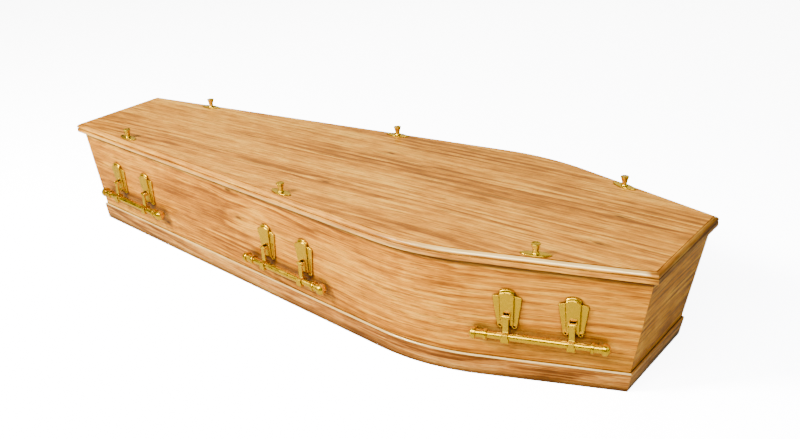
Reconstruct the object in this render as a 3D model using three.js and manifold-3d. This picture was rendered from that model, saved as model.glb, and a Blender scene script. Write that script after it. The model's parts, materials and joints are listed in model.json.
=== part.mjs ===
// A wooden coffin: a shouldered box of veneered board on a low plinth, its loose lid held down by six
// thumbscrews, and three swinging bar handles along each side.
// Millimetres, +Z up, +X towards the head end. The origin is on the floor, under the middle of the lid.
import * as THREE from "three";
import { mergeVertices } from "three/addons/utils/BufferGeometryUtils.js";
import Module from "manifold-3d";

const wasm = await Module();
wasm.setup();

// Lid: its length, its widths and its bend at the shoulders. The shoulder width is where the straight
// sides would meet, before the bend rounds them.
const lidLength = 2030;
const lidFootWidth = 348.4;
const lidShoulderWidth = 690.6;
const lidHeadWidth = 364.8;
const lidShoulderFromHead = 551.3;
const lidBendRadius = 650;

// Lid edge, from below: a flat band with a small arris, a groove, a round and a step up to the top face
const lidBandHeight = 12.4;
const lidBandSetback = 0.8;
const lidArris = 0.8;
const lidGrooveHeight = 2.2;
const lidGrooveDepth = 2.4;
const lidGrooveFlare = 0.7;
const lidRoundRadius = 11.6;
const lidStepHeight = 1.2;
const lidThickness = lidBandHeight + lidGrooveHeight + lidRoundRadius + lidStepHeight;

// How far the lid reaches past the box below it
const lidSideOverhang = 14.2;
const lidFootOverhang = 23.4;
const lidHeadOverhang = 14;

// Box: how much narrower and shorter the plinth stands on the floor than the lid lies above it
const boxHeight = 313.2;
const footSplay = 37.4;
const shoulderSplay = 15.6;
const headSplay = 24;
const footRake = 40.1;
const headRake = 67.1;
const floorShoulderFromHead = 536.7;
const floorBendRadius = 583.4;
const boardThickness = 18;
const baseThickness = 16;

// Plinth: a skirting round the foot of the box, with a rounded top edge
const plinthHeight = 54;
const plinthThickness = 6;
const plinthRound = 4.5;

// Clearances: between boards that touch, between mitred ends, and round pins and shanks in their holes
const touchGap = 0.3;
const mitreGap = 0.25;
const holeGap = 0.4;

// How far a cutter runs past what it cuts, and how far above a handle's hinge the face's lean is taken
const cutterOver = 1;
const leanRise = 20;

// Handle stations: how far each handle's middle is from its end of the lid, and its hinge above the floor
const footHandleFromFoot = 260;
const middleHandleFromFoot = 1000;
const headHandleFromHead = 260;
const footHingeHeight = 172;
const middleHingeHeight = 162;
const headHingeHeight = 180;

// Handle back plate: two wings and a raised strap between them, with a pair of lugs for the arm.
// Heights are from the hinge line, up or down the face of the box.
const wingTopWidth = 70;
const wingFootWidth = 49;
const wingAbove = 51;
const wingBelow = 31;
const wingThickness = 3.8;
const scrollRadius = 7;
const scrollHole = 2.9;
const scrollHoleDrop = 1;
const strapTopWidth = 36;
const strapFootWidth = 29;
const strapAbove = 67.5;
const strapBelow = 29;
const strapThickness = 9;
const strapFootChamfer = 2;
const strapFoldHeight = 8;
const strapFoldRise = 2.5;
const strapFoldThickness = 6.5;
const strapTipThickness = 4.2;
const facetAllowance = 0.3;
const lugThickness = 2.2;
const lugRadius = 4.8;
const lugCorner = 2.8;
const hingeOut = 19;

// Handle arm: an eye on a pin between the lugs, a flat strap and a square collar round the bar
const armWidth = 14;
const armThickness = 5.2;
const armDrop = 52;
const armGap = 0.4;
const eyeRadius = 5.4;
const pinRadius = 2.2;
const pinReach = 0.8;
const collarWidth = 19;
const collarWall = 3;
const armSpacing = 156;

// Handle bar: a turned rod with a ring, a neck and a domed knob at each end
const barLength = 336;
const barRadius = 9.4;
const ringRadius = 13.6;
const ringWidth = 8;
const neckRadius = 10.8;
const neckWidth = 19;
const knobRadius = 15.2;
const knobWidth = 11;
const domeHeight = 7;
const domeShoulderRadius = 9.1;
const domeShoulderHeight = 5.2;

// Lid thumbscrews: how far each one is from its end of the lid and from its side, and its turned shape
const footScrewFromFoot = 269;
const middleScrewFromFoot = 997;
const headScrewFromHead = 274;
const screwInset = 25.5;
const shankRadius = 3;
const shankInBoard = 24;
const shankTip = 3;
const stemRadius = 7;
const stemHeight = 5;
const screwCollarRadius = 8.6;
const screwCollarHeight = 2.4;
const trumpetRadius = 11.3;
const trumpetHeight = 16;
const trumpetRim = 2;
const throatRadius = 8.9;
const throatHeight = 8;

// Lid screw plate: a thin leaf under each thumbscrew
const leafLength = 74;
const leafWidth = 27;
const leafThickness = 2.4;
const leafBevel = 0.9;
const leafTipWidth = 16;
const leafBellyLength = 36;

// Smoothness of the curves and fineness of the long twisted boards
const footSteps = 8;
const bendSteps = 8;
const headSteps = 6;
const wallLevels = 4;
const roundSteps = 3;
const pinSides = 8;
const scrollSides = 6;
const scrollSteps = 4;
const eyeSides = 8;
const barSides = 8;
const screwSides = 8;

// Materials
const oak = new THREE.MeshStandardMaterial({ color: 0xc98f4e, roughness: 0.45, metalness: 0 });
const lidOak = new THREE.MeshStandardMaterial({ color: 0xcd9552, roughness: 0.4, metalness: 0 });
const plinthOak = new THREE.MeshStandardMaterial({ color: 0xb57a45, roughness: 0.45, metalness: 0 });
const gilt = new THREE.MeshStandardMaterial({ color: 0xe0a81c, roughness: 0.22, metalness: 1 });

// Closed geometry as a solid for cutting and joining
function toSolid(geometry) {
  const bare = geometry.index ? geometry.toNonIndexed() : geometry.clone();
  bare.deleteAttribute("normal");
  bare.deleteAttribute("uv");
  const merged = mergeVertices(bare, 1e-4);
  const vertProperties = new Float32Array(merged.attributes.position.array);
  const triVerts = new Uint32Array(merged.index.array);
  return new wasm.Manifold(new wasm.Mesh({ numProp: 3, vertProperties, triVerts }));
}

function toGeometry(solid) {
  const mesh = solid.getMesh();
  const geometry = new THREE.BufferGeometry();
  geometry.setAttribute("position", new THREE.BufferAttribute(mesh.vertProperties, 3));
  geometry.setIndex(new THREE.BufferAttribute(mesh.triVerts, 1));
  return geometry;
}

function join(...geometries) {
  return toGeometry(geometries.map(toSolid).reduce((a, b) => a.add(b)));
}

function cut(geometry, ...cutters) {
  return toGeometry(cutters.map(toSolid).reduce((a, b) => a.subtract(b), toSolid(geometry)));
}

function common(a, b) {
  return toGeometry(toSolid(a).intersect(toSolid(b)));
}

// A closed skin over a row of loops with equal numbers of points, capped by the flat contour's triangles
function loft(loops, contour) {
  const count = contour.length;
  const positions = loops.flat().flatMap((p) => [p.x, p.y, p.z]);
  const faces = [];
  for (let row = 0; row + 1 < loops.length; row++) {
    for (let i = 0; i < count; i++) {
      const next = (i + 1) % count;
      const a = row * count;
      const b = a + count;
      faces.push([a + i, a + next, b + next], [a + i, b + next, b + i]);
    }
  }
  const last = (loops.length - 1) * count;
  for (const [i, j, k] of THREE.ShapeUtils.triangulateShape(contour, [])) {
    const flip = THREE.ShapeUtils.area(contour) > 0;
    faces.push(flip ? [k, j, i] : [i, j, k]);
    faces.push(flip ? [last + i, last + j, last + k] : [last + k, last + j, last + i]);
  }
  const geometry = new THREE.BufferGeometry();
  geometry.setAttribute("position", new THREE.Float32BufferAttribute(positions, 3));
  geometry.setIndex(faces.flat());
  return facingOut(geometry);
}

// The same geometry with every face turned round if its volume comes out negative
function facingOut(geometry) {
  const position = geometry.attributes.position;
  const index = geometry.index.array;
  const corner = (i) => new THREE.Vector3().fromBufferAttribute(position, index[i]);
  let volume = 0;
  for (let i = 0; i < index.length; i += 3) {
    volume += corner(i).dot(corner(i + 1).cross(corner(i + 2)));
  }
  if (volume < 0) {
    for (let i = 0; i < index.length; i += 3) {
      [index[i + 1], index[i + 2]] = [index[i + 2], index[i + 1]];
    }
  }
  return geometry;
}

// Plans of the lid's edge and of the plinth on the floor, as their half-widths and stations along X
const headEnd = lidLength / 2;
const footEnd = -lidLength / 2;
const lidPlan = {
  foot: new THREE.Vector2(footEnd, lidFootWidth / 2),
  shoulder: new THREE.Vector2(headEnd - lidShoulderFromHead, lidShoulderWidth / 2),
  head: new THREE.Vector2(headEnd, lidHeadWidth / 2),
  bend: lidBendRadius,
};
const floorPlan = {
  foot: new THREE.Vector2(footEnd + footRake, lidFootWidth / 2 - footSplay),
  shoulder: new THREE.Vector2(headEnd - floorShoulderFromHead, lidShoulderWidth / 2 - shoulderSplay),
  head: new THREE.Vector2(headEnd - headRake, lidHeadWidth / 2 - headSplay),
  bend: floorBendRadius,
};

// One side of a plan from foot to head: straight, round the shoulder, straight. It is moved in by side,
// and its ends are moved in by foot and head. The legs are cut into steps where the face twists.
function sideLine(plan, side, foot, head, legSteps = [1, 1]) {
  const legIn = plan.shoulder.clone().sub(plan.foot).normalize();
  const legOut = plan.head.clone().sub(plan.shoulder).normalize();
  const inwardIn = new THREE.Vector2(legIn.y, -legIn.x);
  const inwardOut = new THREE.Vector2(legOut.y, -legOut.x);
  const reach = plan.bend / (1 + inwardIn.dot(inwardOut));
  const centre = plan.shoulder.clone().addScaledVector(inwardIn.clone().add(inwardOut), reach);
  const from = inwardIn.clone().negate().angle();
  const to = inwardOut.clone().negate().angle();
  const bend = [];
  for (let i = 0; i <= bendSteps; i++) {
    const angle = THREE.MathUtils.lerp(from, to, i / bendSteps);
    const spoke = new THREE.Vector2(Math.cos(angle), Math.sin(angle));
    bend.push(centre.clone().addScaledVector(spoke, plan.bend - side));
  }
  const footPoint = plan.foot.clone().addScaledVector(inwardIn, side);
  footPoint.addScaledVector(legIn, (plan.foot.x + foot - footPoint.x) / legIn.x);
  const headPoint = plan.head.clone().addScaledVector(inwardOut, side);
  headPoint.addScaledVector(legOut, (plan.head.x - head - headPoint.x) / legOut.x);
  const footLeg = between(footPoint, bend[0], legSteps[0]);
  const headLeg = between(bend[bendSteps], headPoint, legSteps[1]).slice(1);
  return [...footLeg, ...bend.slice(1), ...headLeg];
}

function between(start, end, steps) {
  return Array.from({ length: steps + 1 }, (_, i) => start.clone().lerp(end, i / steps));
}

// The box's outer face at height z, moved in by depth, as one side from foot to head
function boxSide(z, depth, endGap) {
  const low = plinthThickness + depth;
  const steps = [footSteps, headSteps];
  const floorLine = sideLine(floorPlan, low, low + endGap, low + endGap, steps);
  const footIn = lidFootOverhang + depth + endGap;
  const headIn = lidHeadOverhang + depth + endGap;
  const lidLine = sideLine(lidPlan, lidSideOverhang + depth, footIn, headIn, steps);
  return floorLine.map((p, i) => p.clone().lerp(lidLine[i], z / boxHeight));
}

// The point of a side line at station x
function atStation(line, x) {
  const i = line.findIndex((p, k) => k > 0 && p.x >= x);
  const share = (x - line[i - 1].x) / (line[i].x - line[i - 1].x);
  return line[i - 1].clone().lerp(line[i], share);
}

// A closed outline from one side line, mirrored across the middle
function bothSides(line, z) {
  const left = line.map((p) => new THREE.Vector3(p.x, p.y, z));
  const right = line.map((p) => new THREE.Vector3(p.x, -p.y, z)).reverse();
  return [...left, ...right];
}

// A flat board built up from outlines at rising heights
function slab(layers) {
  const loops = layers.map(([line, z]) => bothSides(line, z));
  return loft(loops, loops[0].map((p) => new THREE.Vector2(p.x, p.y)));
}

// A wall or moulding along one side: its section is a list of points, x as depth into the box and y as
// height. The mitred ends keep half the mitre gap. A stretch gives the first and last step of the side.
const lastStep = footSteps + bendSteps + headSteps;
function sideRun(section, hand, stretch = [0, lastStep]) {
  const lines = section.map((p) => stretchOf(boxSide(p.y, p.x, mitreGap), stretch));
  const loops = lines[0].map((_, i) =>
    lines.map((line, j) => new THREE.Vector3(line[i].x, hand * line[i].y, section[j].y)),
  );
  return loft(loops, section);
}

// Part of a side line. Where it stops short of the line's end it keeps half the gap of a joint.
function stretchOf(line, [first, last]) {
  const part = line.slice(first, last + 1);
  const away = (end, next) => end.clone().addScaledVector(next.clone().sub(end).normalize(), touchGap / 2);
  const start = first > 0 ? away(part[0], part[1]) : part[0];
  const end = last < lastStep ? away(part.at(-1), part.at(-2)) : part.at(-1);
  return [start, ...part.slice(1, -1), end];
}

// The same section across the foot or head end
function endRun(section, atHead) {
  const loops = [1, -1].map((hand) =>
    section.map((p) => {
      const corner = boxSide(p.y, p.x, 0).at(atHead ? -1 : 0);
      return new THREE.Vector3(corner.x, hand * (corner.y - mitreGap), p.y);
    }),
  );
  return loft(loops, section);
}

function wallSection() {
  const heights = Array.from({ length: wallLevels }, (_, i) =>
    THREE.MathUtils.lerp(plinthHeight, boxHeight, i / (wallLevels - 1)),
  );
  const levels = [0, baseThickness, ...heights];
  const outside = levels.map((z) => new THREE.Vector2(0, z));
  const inside = levels.map((z) => new THREE.Vector2(boardThickness, z)).reverse();
  return [...outside, ...inside];
}

function plinthSection() {
  const front = -plinthThickness;
  const back = -touchGap;
  const section = [0, baseThickness, plinthHeight].map((z) => new THREE.Vector2(back, z));
  for (let i = roundSteps; i >= 0; i--) {
    const angle = ((i / roundSteps) * Math.PI) / 2;
    const depth = front + plinthRound * (1 - Math.cos(angle));
    section.push(new THREE.Vector2(depth, plinthHeight - plinthRound * (1 - Math.sin(angle))));
  }
  section.push(new THREE.Vector2(front, 0));
  return section;
}

function makeBase() {
  const inset = boardThickness + touchGap;
  const layers = [0, baseThickness].map((z) => [boxSide(z, inset, 0), z]);
  return slab(layers);
}

// Lid edge as pairs of inset and height above the underside
function lidEdge() {
  const grooveTop = lidBandHeight + lidGrooveHeight;
  const edge = [
    [lidBandSetback + lidArris, 0],
    [lidBandSetback, lidArris],
    [lidBandSetback, lidBandHeight],
    [lidGrooveDepth, lidBandHeight + lidGrooveFlare],
    [lidGrooveDepth, grooveTop - lidGrooveFlare],
  ];
  for (let i = 0; i <= roundSteps; i++) {
    const angle = ((i / roundSteps) * Math.PI) / 2;
    const inset = lidRoundRadius * (1 - Math.cos(angle));
    edge.push([inset, grooveTop + lidRoundRadius * Math.sin(angle)]);
  }
  edge.push([lidRoundRadius, lidThickness]);
  return edge;
}

const lidUnderside = boxHeight + touchGap;
const lidTop = lidUnderside + lidThickness;

function makeLid(holes) {
  const layers = lidEdge().map(([inset, z]) => [sideLine(lidPlan, inset, inset, inset), lidUnderside + z]);
  return cut(slab(layers), ...holes);
}

// A cylinder along the local X, Y or Z
function rod(radius, length, sides, axis = "z") {
  const geometry = new THREE.CylinderGeometry(radius, radius, length, sides);
  if (axis === "x") geometry.rotateZ(-Math.PI / 2);
  if (axis === "z") geometry.rotateX(Math.PI / 2);
  return geometry;
}

function block(x0, x1, y0, y1, z0, z1) {
  const geometry = new THREE.BoxGeometry(x1 - x0, y1 - y0, z1 - z0);
  return geometry.translate((x0 + x1) / 2, (y0 + y1) / 2, (z0 + z1) / 2);
}

// A turned piece from [radius, height] pairs, starting and ending on the axis
function turned(profile, sides) {
  const points = profile.map(([r, z]) => new THREE.Vector2(r, z));
  return facingOut(new THREE.LatheGeometry(points, sides).rotateX(Math.PI / 2));
}

// The place of a screw on the lid, above the side board's top edge
function screwPlace(hand, x) {
  const line = sideLine(lidPlan, screwInset, 0, 0);
  const here = atStation(line, x);
  const ahead = atStation(line, x + 1);
  const turn = Math.atan2(hand * (ahead.y - here.y), ahead.x - here.x);
  return { position: new THREE.Vector3(here.x, hand * here.y, lidTop), turn };
}

// Hole through the lid and into the side board for a screw's shank
function screwHole(place) {
  const depth = lidThickness + touchGap + shankInBoard + holeGap;
  const hole = rod(shankRadius + holeGap, depth + cutterOver, pinSides);
  return hole.translate(place.position.x, place.position.y, lidTop + (cutterOver - depth) / 2);
}

function makeLeaf() {
  const half = leafLength / 2 - leafBevel;
  const belly = leafWidth / 2 - leafBevel;
  const tip = leafTipWidth / 2;
  const side = leafBellyLength / 2;
  const shape = new THREE.Shape();
  shape.moveTo(-half, 0);
  shape.bezierCurveTo(-half, tip, -side, belly, 0, belly);
  shape.bezierCurveTo(side, belly, half, tip, half, 0);
  shape.bezierCurveTo(half, -tip, side, -belly, 0, -belly);
  shape.bezierCurveTo(-side, -belly, -half, -tip, -half, 0);
  const leaf = new THREE.ExtrudeGeometry(shape, {
    depth: leafThickness - leafBevel,
    curveSegments: 3,
    bevelThickness: leafBevel,
    bevelSize: leafBevel,
    bevelSegments: 1,
  });
  const under = block(-leafLength, leafLength, -leafWidth, leafWidth, -leafThickness, 0);
  const hole = rod(shankRadius + holeGap, 4 * leafThickness, pinSides);
  return cut(leaf, under, hole).translate(0, 0, touchGap);
}

function makeThumbscrew() {
  const bottom = -(lidThickness + touchGap + shankInBoard);
  const seat = 2 * touchGap + leafThickness;
  const stemTop = seat + screwCollarHeight + stemHeight;
  const profile = [
    [0, bottom],
    [shankRadius, bottom + shankTip],
    [shankRadius, seat],
    [screwCollarRadius, seat],
    [stemRadius, seat + screwCollarHeight],
    [stemRadius, stemTop],
    [throatRadius, stemTop + throatHeight],
    [trumpetRadius, stemTop + trumpetHeight],
    [trumpetRadius, stemTop + trumpetHeight + trumpetRim],
    [0, stemTop + trumpetHeight + trumpetRim],
  ];
  return turned(profile, screwSides);
}

// Where a handle hangs: along is level and follows the face, out is level and leaves it. Lean is how
// far the face leans out from upright at this station.
function facePlace(hand, x, z) {
  const line = boxSide(z, 0, 0);
  const here = atStation(line, x);
  const ahead = atStation(line, x + 1).sub(here).normalize();
  const outFlat = new THREE.Vector2(-ahead.y, ahead.x);
  const above = atStation(boxSide(z + leanRise, 0, 0), x).sub(here);
  const lean = Math.atan2(above.dot(outFlat), leanRise);
  const out = new THREE.Vector3(outFlat.x, hand * outFlat.y, 0);
  const up = new THREE.Vector3(0, 0, 1);
  const along = out.clone().cross(up);
  const position = new THREE.Vector3(here.x, hand * here.y, z);
  return { position, along, out, up, lean };
}

// Places a mesh with its local X along the face, Y out of it and Z up it, tilted by lean
function placeOnFace(mesh, place, lean, outBy) {
  const up = place.up.clone().multiplyScalar(Math.cos(lean));
  up.addScaledVector(place.out, Math.sin(lean));
  const out = up.clone().cross(place.along);
  mesh.quaternion.setFromRotationMatrix(new THREE.Matrix4().makeBasis(place.along, out, up));
  mesh.position.copy(place.position).addScaledVector(place.out, outBy);
}

// How far the twisted face of the box stands proud of a plate's flat back at the plate's corners
function faceBulge(hand, place) {
  const level = place.position.z;
  const x = place.position.x;
  const step = (Math.abs(place.along.x) * wingTopWidth) / 2;
  const origin = new THREE.Vector2(x, hand * place.position.y);
  const out = new THREE.Vector2(place.out.x, hand * place.out.y);
  const rises = [strapAbove, -(wingBelow + scrollRadius)];
  const corners = rises.flatMap((rise) => [
    [rise, -step],
    [rise, step],
  ]);
  const bulges = corners.map(([rise, run]) => {
    const proud = atStation(boxSide(level + rise, 0, 0), x + run).sub(origin).dot(out);
    return proud * Math.cos(place.lean) - rise * Math.sin(place.lean);
  });
  return Math.max(0, ...bulges);
}

// An outline in the face's plane extruded outwards, from local Y = 0
function extrudeOut(shape, thickness) {
  const options = { depth: thickness, bevelEnabled: false, curveSegments: 6 };
  return new THREE.ExtrudeGeometry(shape, options).rotateX(Math.PI / 2).rotateZ(Math.PI);
}

// A section across the face, drawn as out and up, extruded along local X from 0
function extrudeAlong(shape, length) {
  const geometry = new THREE.ExtrudeGeometry(shape, { depth: length, bevelEnabled: false });
  return geometry.applyMatrix4(new THREE.Matrix4().set(0, 0, 1, 0, 1, 0, 0, 0, 0, 1, 0, 0, 0, 0, 0, 1));
}

function trapezoid(lowWidth, highWidth, low, high) {
  const shape = new THREE.Shape();
  shape.moveTo(-lowWidth / 2, low);
  shape.lineTo(lowWidth / 2, low);
  shape.lineTo(highWidth / 2, high);
  shape.lineTo(-highWidth / 2, high);
  shape.closePath();
  return shape;
}

// The raised strap: a tapered outline with its top folded back towards the board
function makeStrap() {
  const front = extrudeOut(trapezoid(strapFootWidth, strapTopWidth, -strapBelow, strapAbove), strapThickness);
  const foldStart = strapAbove - strapFoldHeight;
  const side = new THREE.Shape();
  side.moveTo(0, -strapBelow);
  side.lineTo(strapThickness - strapFootChamfer, -strapBelow);
  side.lineTo(strapThickness, -strapBelow + strapFootChamfer);
  side.lineTo(strapThickness, foldStart);
  side.lineTo(strapFoldThickness, foldStart + strapFoldRise);
  side.lineTo(strapTipThickness, strapAbove);
  side.lineTo(0, strapAbove);
  side.closePath();
  return common(front, extrudeAlong(side, 2 * strapTopWidth).translate(-strapTopWidth, 0, 0));
}

// Both wings as one outline, with a pierced scroll at each lower corner
function wingOutline() {
  const scrollAt = wingFootWidth / 2 - scrollRadius;
  const outline = new THREE.Shape();
  outline.moveTo(wingTopWidth / 2, wingAbove);
  outline.lineTo(-wingTopWidth / 2, wingAbove);
  for (const x of [-scrollAt, scrollAt]) {
    for (let i = 0; i <= scrollSteps; i++) {
      const angle = Math.PI * (1 + i / scrollSteps);
      outline.lineTo(x + scrollRadius * Math.cos(angle), -wingBelow + scrollRadius * Math.sin(angle));
    }
    const hole = new THREE.Path();
    for (let i = 0; i < scrollSides; i++) {
      const angle = (2 * Math.PI * i) / scrollSides;
      const rise = -wingBelow - scrollHoleDrop + scrollHole * Math.sin(angle);
      const point = [x + scrollHole * Math.cos(angle), rise];
      if (i) hole.lineTo(...point);
      else hole.moveTo(...point);
    }
    outline.holes.push(hole);
  }
  return outline;
}

// A lug standing out from the strap to past the hinge line, with its outer corners cut
function makeLug(axisOut) {
  const flat = lugRadius - lugCorner;
  const lug = new THREE.Shape();
  lug.moveTo(strapThickness / 2, -lugRadius);
  lug.lineTo(axisOut + flat, -lugRadius);
  lug.lineTo(axisOut + lugRadius, -flat);
  lug.lineTo(axisOut + lugRadius, flat);
  lug.lineTo(axisOut + flat, lugRadius);
  lug.lineTo(strapThickness / 2, lugRadius);
  lug.closePath();
  return extrudeAlong(lug, lugThickness);
}

// One back plate for a face that leans by lean, with its hinge line level and hingeOut from the face
function makeBackPlate(lean) {
  const pieces = [extrudeOut(wingOutline(), wingThickness), makeStrap()];
  const axisOut = hingeOut * Math.cos(lean);
  const axisUp = hingeOut * Math.sin(lean);
  const lugIn = armWidth / 2 + armGap;
  for (const x of [-lugIn - lugThickness, lugIn]) {
    pieces.push(makeLug(axisOut).translate(x, 0, axisUp));
  }
  const pinHole = rod(pinRadius + holeGap, 2 * strapTopWidth, pinSides, "x");
  return cut(join(...pieces), pinHole.translate(0, axisOut, axisUp));
}

// One arm hanging from its own origin, which is on the hinge line
function makeArm() {
  const back = armThickness / 2;
  const collarOut = barRadius + collarWall;
  const collarTop = -armDrop + collarOut;
  const pinLength = armWidth + 2 * (armGap + lugThickness + pinReach);
  const section = new THREE.Shape();
  section.moveTo(eyeRadius, 0);
  for (let i = 1; i <= eyeSides / 2; i++) {
    const angle = (2 * Math.PI * i) / eyeSides;
    section.lineTo(eyeRadius * Math.cos(angle), eyeRadius * Math.sin(angle));
  }
  section.lineTo(-back, -eyeRadius);
  section.lineTo(-back, collarTop);
  section.lineTo(-collarOut, collarTop - back);
  section.lineTo(-collarOut, -armDrop);
  section.lineTo(collarOut, -armDrop);
  section.lineTo(collarOut, collarTop - back);
  section.lineTo(back, collarTop);
  section.lineTo(back, -eyeRadius);
  section.closePath();
  const strap = extrudeAlong(section, armWidth).translate(-armWidth / 2, 0, 0);
  const pin = rod(pinRadius, pinLength, pinSides, "x");
  const collarHalf = collarWidth / 2;
  const low = -armDrop - collarOut;
  const collar = block(-collarHalf, collarHalf, -collarOut, collarOut, low, -armDrop);
  const hole = rod((barRadius + holeGap) / Math.cos(Math.PI / barSides), 2 * collarWidth, barSides, "x");
  return cut(join(pin, strap, collar), hole.translate(0, 0, -armDrop));
}

// The bar along its local X, from one knob's dome to the other, hanging below the hinge line
function makeBar() {
  const half = barLength / 2;
  const knobIn = half - domeHeight - knobWidth;
  const neckIn = knobIn - neckWidth;
  const ringIn = neckIn - ringWidth;
  const end = [
    [0, half],
    [domeShoulderRadius, half - domeHeight + domeShoulderHeight],
    [knobRadius, half - domeHeight],
    [knobRadius, knobIn],
    [neckRadius, knobIn],
    [neckRadius, neckIn],
    [ringRadius, neckIn],
    [ringRadius, ringIn],
    [barRadius, ringIn],
  ];
  const other = end.map(([r, x]) => [r, -x]).reverse();
  return turned([...end, ...other], barSides).rotateY(Math.PI / 2).translate(0, 0, -armDrop);
}

const coffin = new THREE.Group();

function add(name, geometry, material) {
  const mesh = new THREE.Mesh(geometry, material);
  mesh.name = name;
  coffin.add(mesh);
  return mesh;
}

const sides = [
  { name: "left", hand: 1 },
  { name: "right", hand: -1 },
];
const screwStations = [
  { name: "foot", x: footEnd + footScrewFromFoot },
  { name: "middle", x: footEnd + middleScrewFromFoot },
  { name: "head", x: headEnd - headScrewFromHead },
];
const handleStations = [
  { name: "foot", x: footEnd + footHandleFromFoot, hinge: footHingeHeight },
  { name: "middle", x: footEnd + middleHandleFromFoot, hinge: middleHingeHeight },
  { name: "head", x: headEnd - headHandleFromHead, hinge: headHingeHeight },
];

// Lid furniture, which also gives the holes for the boards
const lidHoles = [];
const sideHoles = { left: [], right: [] };
const leaf = makeLeaf();
const thumbscrew = makeThumbscrew();
for (const side of sides) {
  for (const station of screwStations) {
    const place = screwPlace(side.hand, station.x);
    const hole = screwHole(place);
    lidHoles.push(hole);
    sideHoles[side.name].push(hole);
    const plate = add(`lid_screw_plate_${side.name}_${station.name}`, leaf, gilt);
    const screw = add(`lid_screw_${side.name}_${station.name}`, thumbscrew, gilt);
    for (const mesh of [plate, screw]) {
      mesh.position.copy(place.position);
      mesh.rotation.z = place.turn;
    }
  }
}

// Box, plinth and lid. Each side board is parted on both sides of its shoulder bend.
const sideStretches = {
  foot_leg: [0, footSteps],
  shoulder: [footSteps, footSteps + bendSteps],
  head_leg: [footSteps + bendSteps, lastStep],
};
add("base_board", makeBase(), oak);
for (const { name, hand } of sides) {
  for (const [key, stretch] of Object.entries(sideStretches)) {
    const wall = sideRun(wallSection(), hand, stretch);
    add(`side_board_${name}_${key}`, cut(wall, ...sideHoles[name]), oak);
  }
  add(`plinth_${name}`, sideRun(plinthSection(), hand), plinthOak);
}
for (const [name, atHead] of [["foot", false], ["head", true]]) {
  add(`${name}_board`, endRun(wallSection(), atHead), oak);
  add(`plinth_${name}`, endRun(plinthSection(), atHead), plinthOak);
}
add("lid", makeLid(lidHoles), lidOak);

// Handles: two plates on the face, two arms on one hinge line and the bar that they carry
const arm = makeArm();
const bar = makeBar();
for (const { name, hand } of sides) {
  for (const station of handleStations) {
    const key = `${name}_${station.name}`;
    const middle = facePlace(hand, station.x, station.hinge);
    const reach = (armSpacing / 2) * Math.abs(middle.along.x);
    const ends = [
      { end: "a", place: facePlace(hand, station.x - reach, station.hinge) },
      { end: "b", place: facePlace(hand, station.x + reach, station.hinge) },
    ];
    const bulge = Math.max(...ends.map(({ place }) => faceBulge(hand, place)));
    const seat = touchGap + facetAllowance + bulge;
    for (const { end, place } of ends) {
      const plate = add(`handle_plate_${key}_${end}`, makeBackPlate(place.lean), gilt);
      placeOnFace(plate, place, place.lean, seat);
      placeOnFace(add(`handle_arm_${key}_${end}`, arm, gilt), place, 0, seat + hingeOut);
    }
    placeOnFace(add(`handle_bar_${key}`, bar, gilt), middle, 0, seat + hingeOut);
  }
}

export default coffin;
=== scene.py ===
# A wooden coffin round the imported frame: oak veneered boards, a moulded lid edge, a plinth and gilt
# fittings. Lengths are in millimetres up to make_object, which turns them into the scene's metres.
import json
import math
from collections import namedtuple

import bmesh
import bpy
from mathutils import Matrix, Vector


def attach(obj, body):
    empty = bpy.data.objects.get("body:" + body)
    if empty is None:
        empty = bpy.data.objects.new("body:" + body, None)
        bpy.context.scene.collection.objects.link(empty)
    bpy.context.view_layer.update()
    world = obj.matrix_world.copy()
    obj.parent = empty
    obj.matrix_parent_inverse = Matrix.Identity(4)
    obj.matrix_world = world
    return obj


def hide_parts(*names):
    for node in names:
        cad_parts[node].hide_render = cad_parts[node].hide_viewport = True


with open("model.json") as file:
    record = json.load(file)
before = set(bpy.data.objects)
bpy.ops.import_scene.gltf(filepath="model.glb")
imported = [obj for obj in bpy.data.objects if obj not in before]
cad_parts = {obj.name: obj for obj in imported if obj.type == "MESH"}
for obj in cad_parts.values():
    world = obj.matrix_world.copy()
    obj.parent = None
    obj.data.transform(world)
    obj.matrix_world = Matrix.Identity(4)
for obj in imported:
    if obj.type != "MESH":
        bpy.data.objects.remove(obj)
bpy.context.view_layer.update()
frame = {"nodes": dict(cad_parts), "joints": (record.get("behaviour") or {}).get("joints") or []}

MM = 0.001
BODY = "coffin"

# Plans of the lid's edge and of the box on the floor, as stations along X and half-widths
Plan = namedtuple("Plan", "foot shoulder head bend")
LID_LENGTH = 2030
LID_PLAN = Plan(
    foot=Vector((-LID_LENGTH / 2, 174.2)),
    shoulder=Vector((LID_LENGTH / 2 - 551.3, 345.3)),
    head=Vector((LID_LENGTH / 2, 182.4)),
    bend=650,
)
FLOOR_PLAN = Plan(
    foot=Vector((-LID_LENGTH / 2 + 40.1, 136.8)),
    shoulder=Vector((LID_LENGTH / 2 - 536.7, 329.7)),
    head=Vector((LID_LENGTH / 2 - 67.1, 158.4)),
    bend=583.4,
)

# Box and lid
BOX_HEIGHT = 313.2
BOARD = 18
BASE = 16
LID_SIDE_OVERHANG = 14.2
LID_FOOT_OVERHANG = 23.4
LID_HEAD_OVERHANG = 14
TOUCH_GAP = 0.3
MITRE_GAP = 0.12
LID_UNDERSIDE = BOX_HEIGHT + TOUCH_GAP
BAND_HEIGHT = 12.4
BAND_SETBACK = 0.8
BAND_ARRIS = 0.9
GROOVE_HEIGHT = 2.2
GROOVE_DEPTH = 2.6
ROUND_RADIUS = 11.6
LID_STEP = 1.2
LID_TOP = LID_UNDERSIDE + BAND_HEIGHT + GROOVE_HEIGHT + ROUND_RADIUS + LID_STEP

# Plinth
PLINTH_HEIGHT = 54
PLINTH_THICKNESS = 6
PLINTH_ROUND = 5

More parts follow.
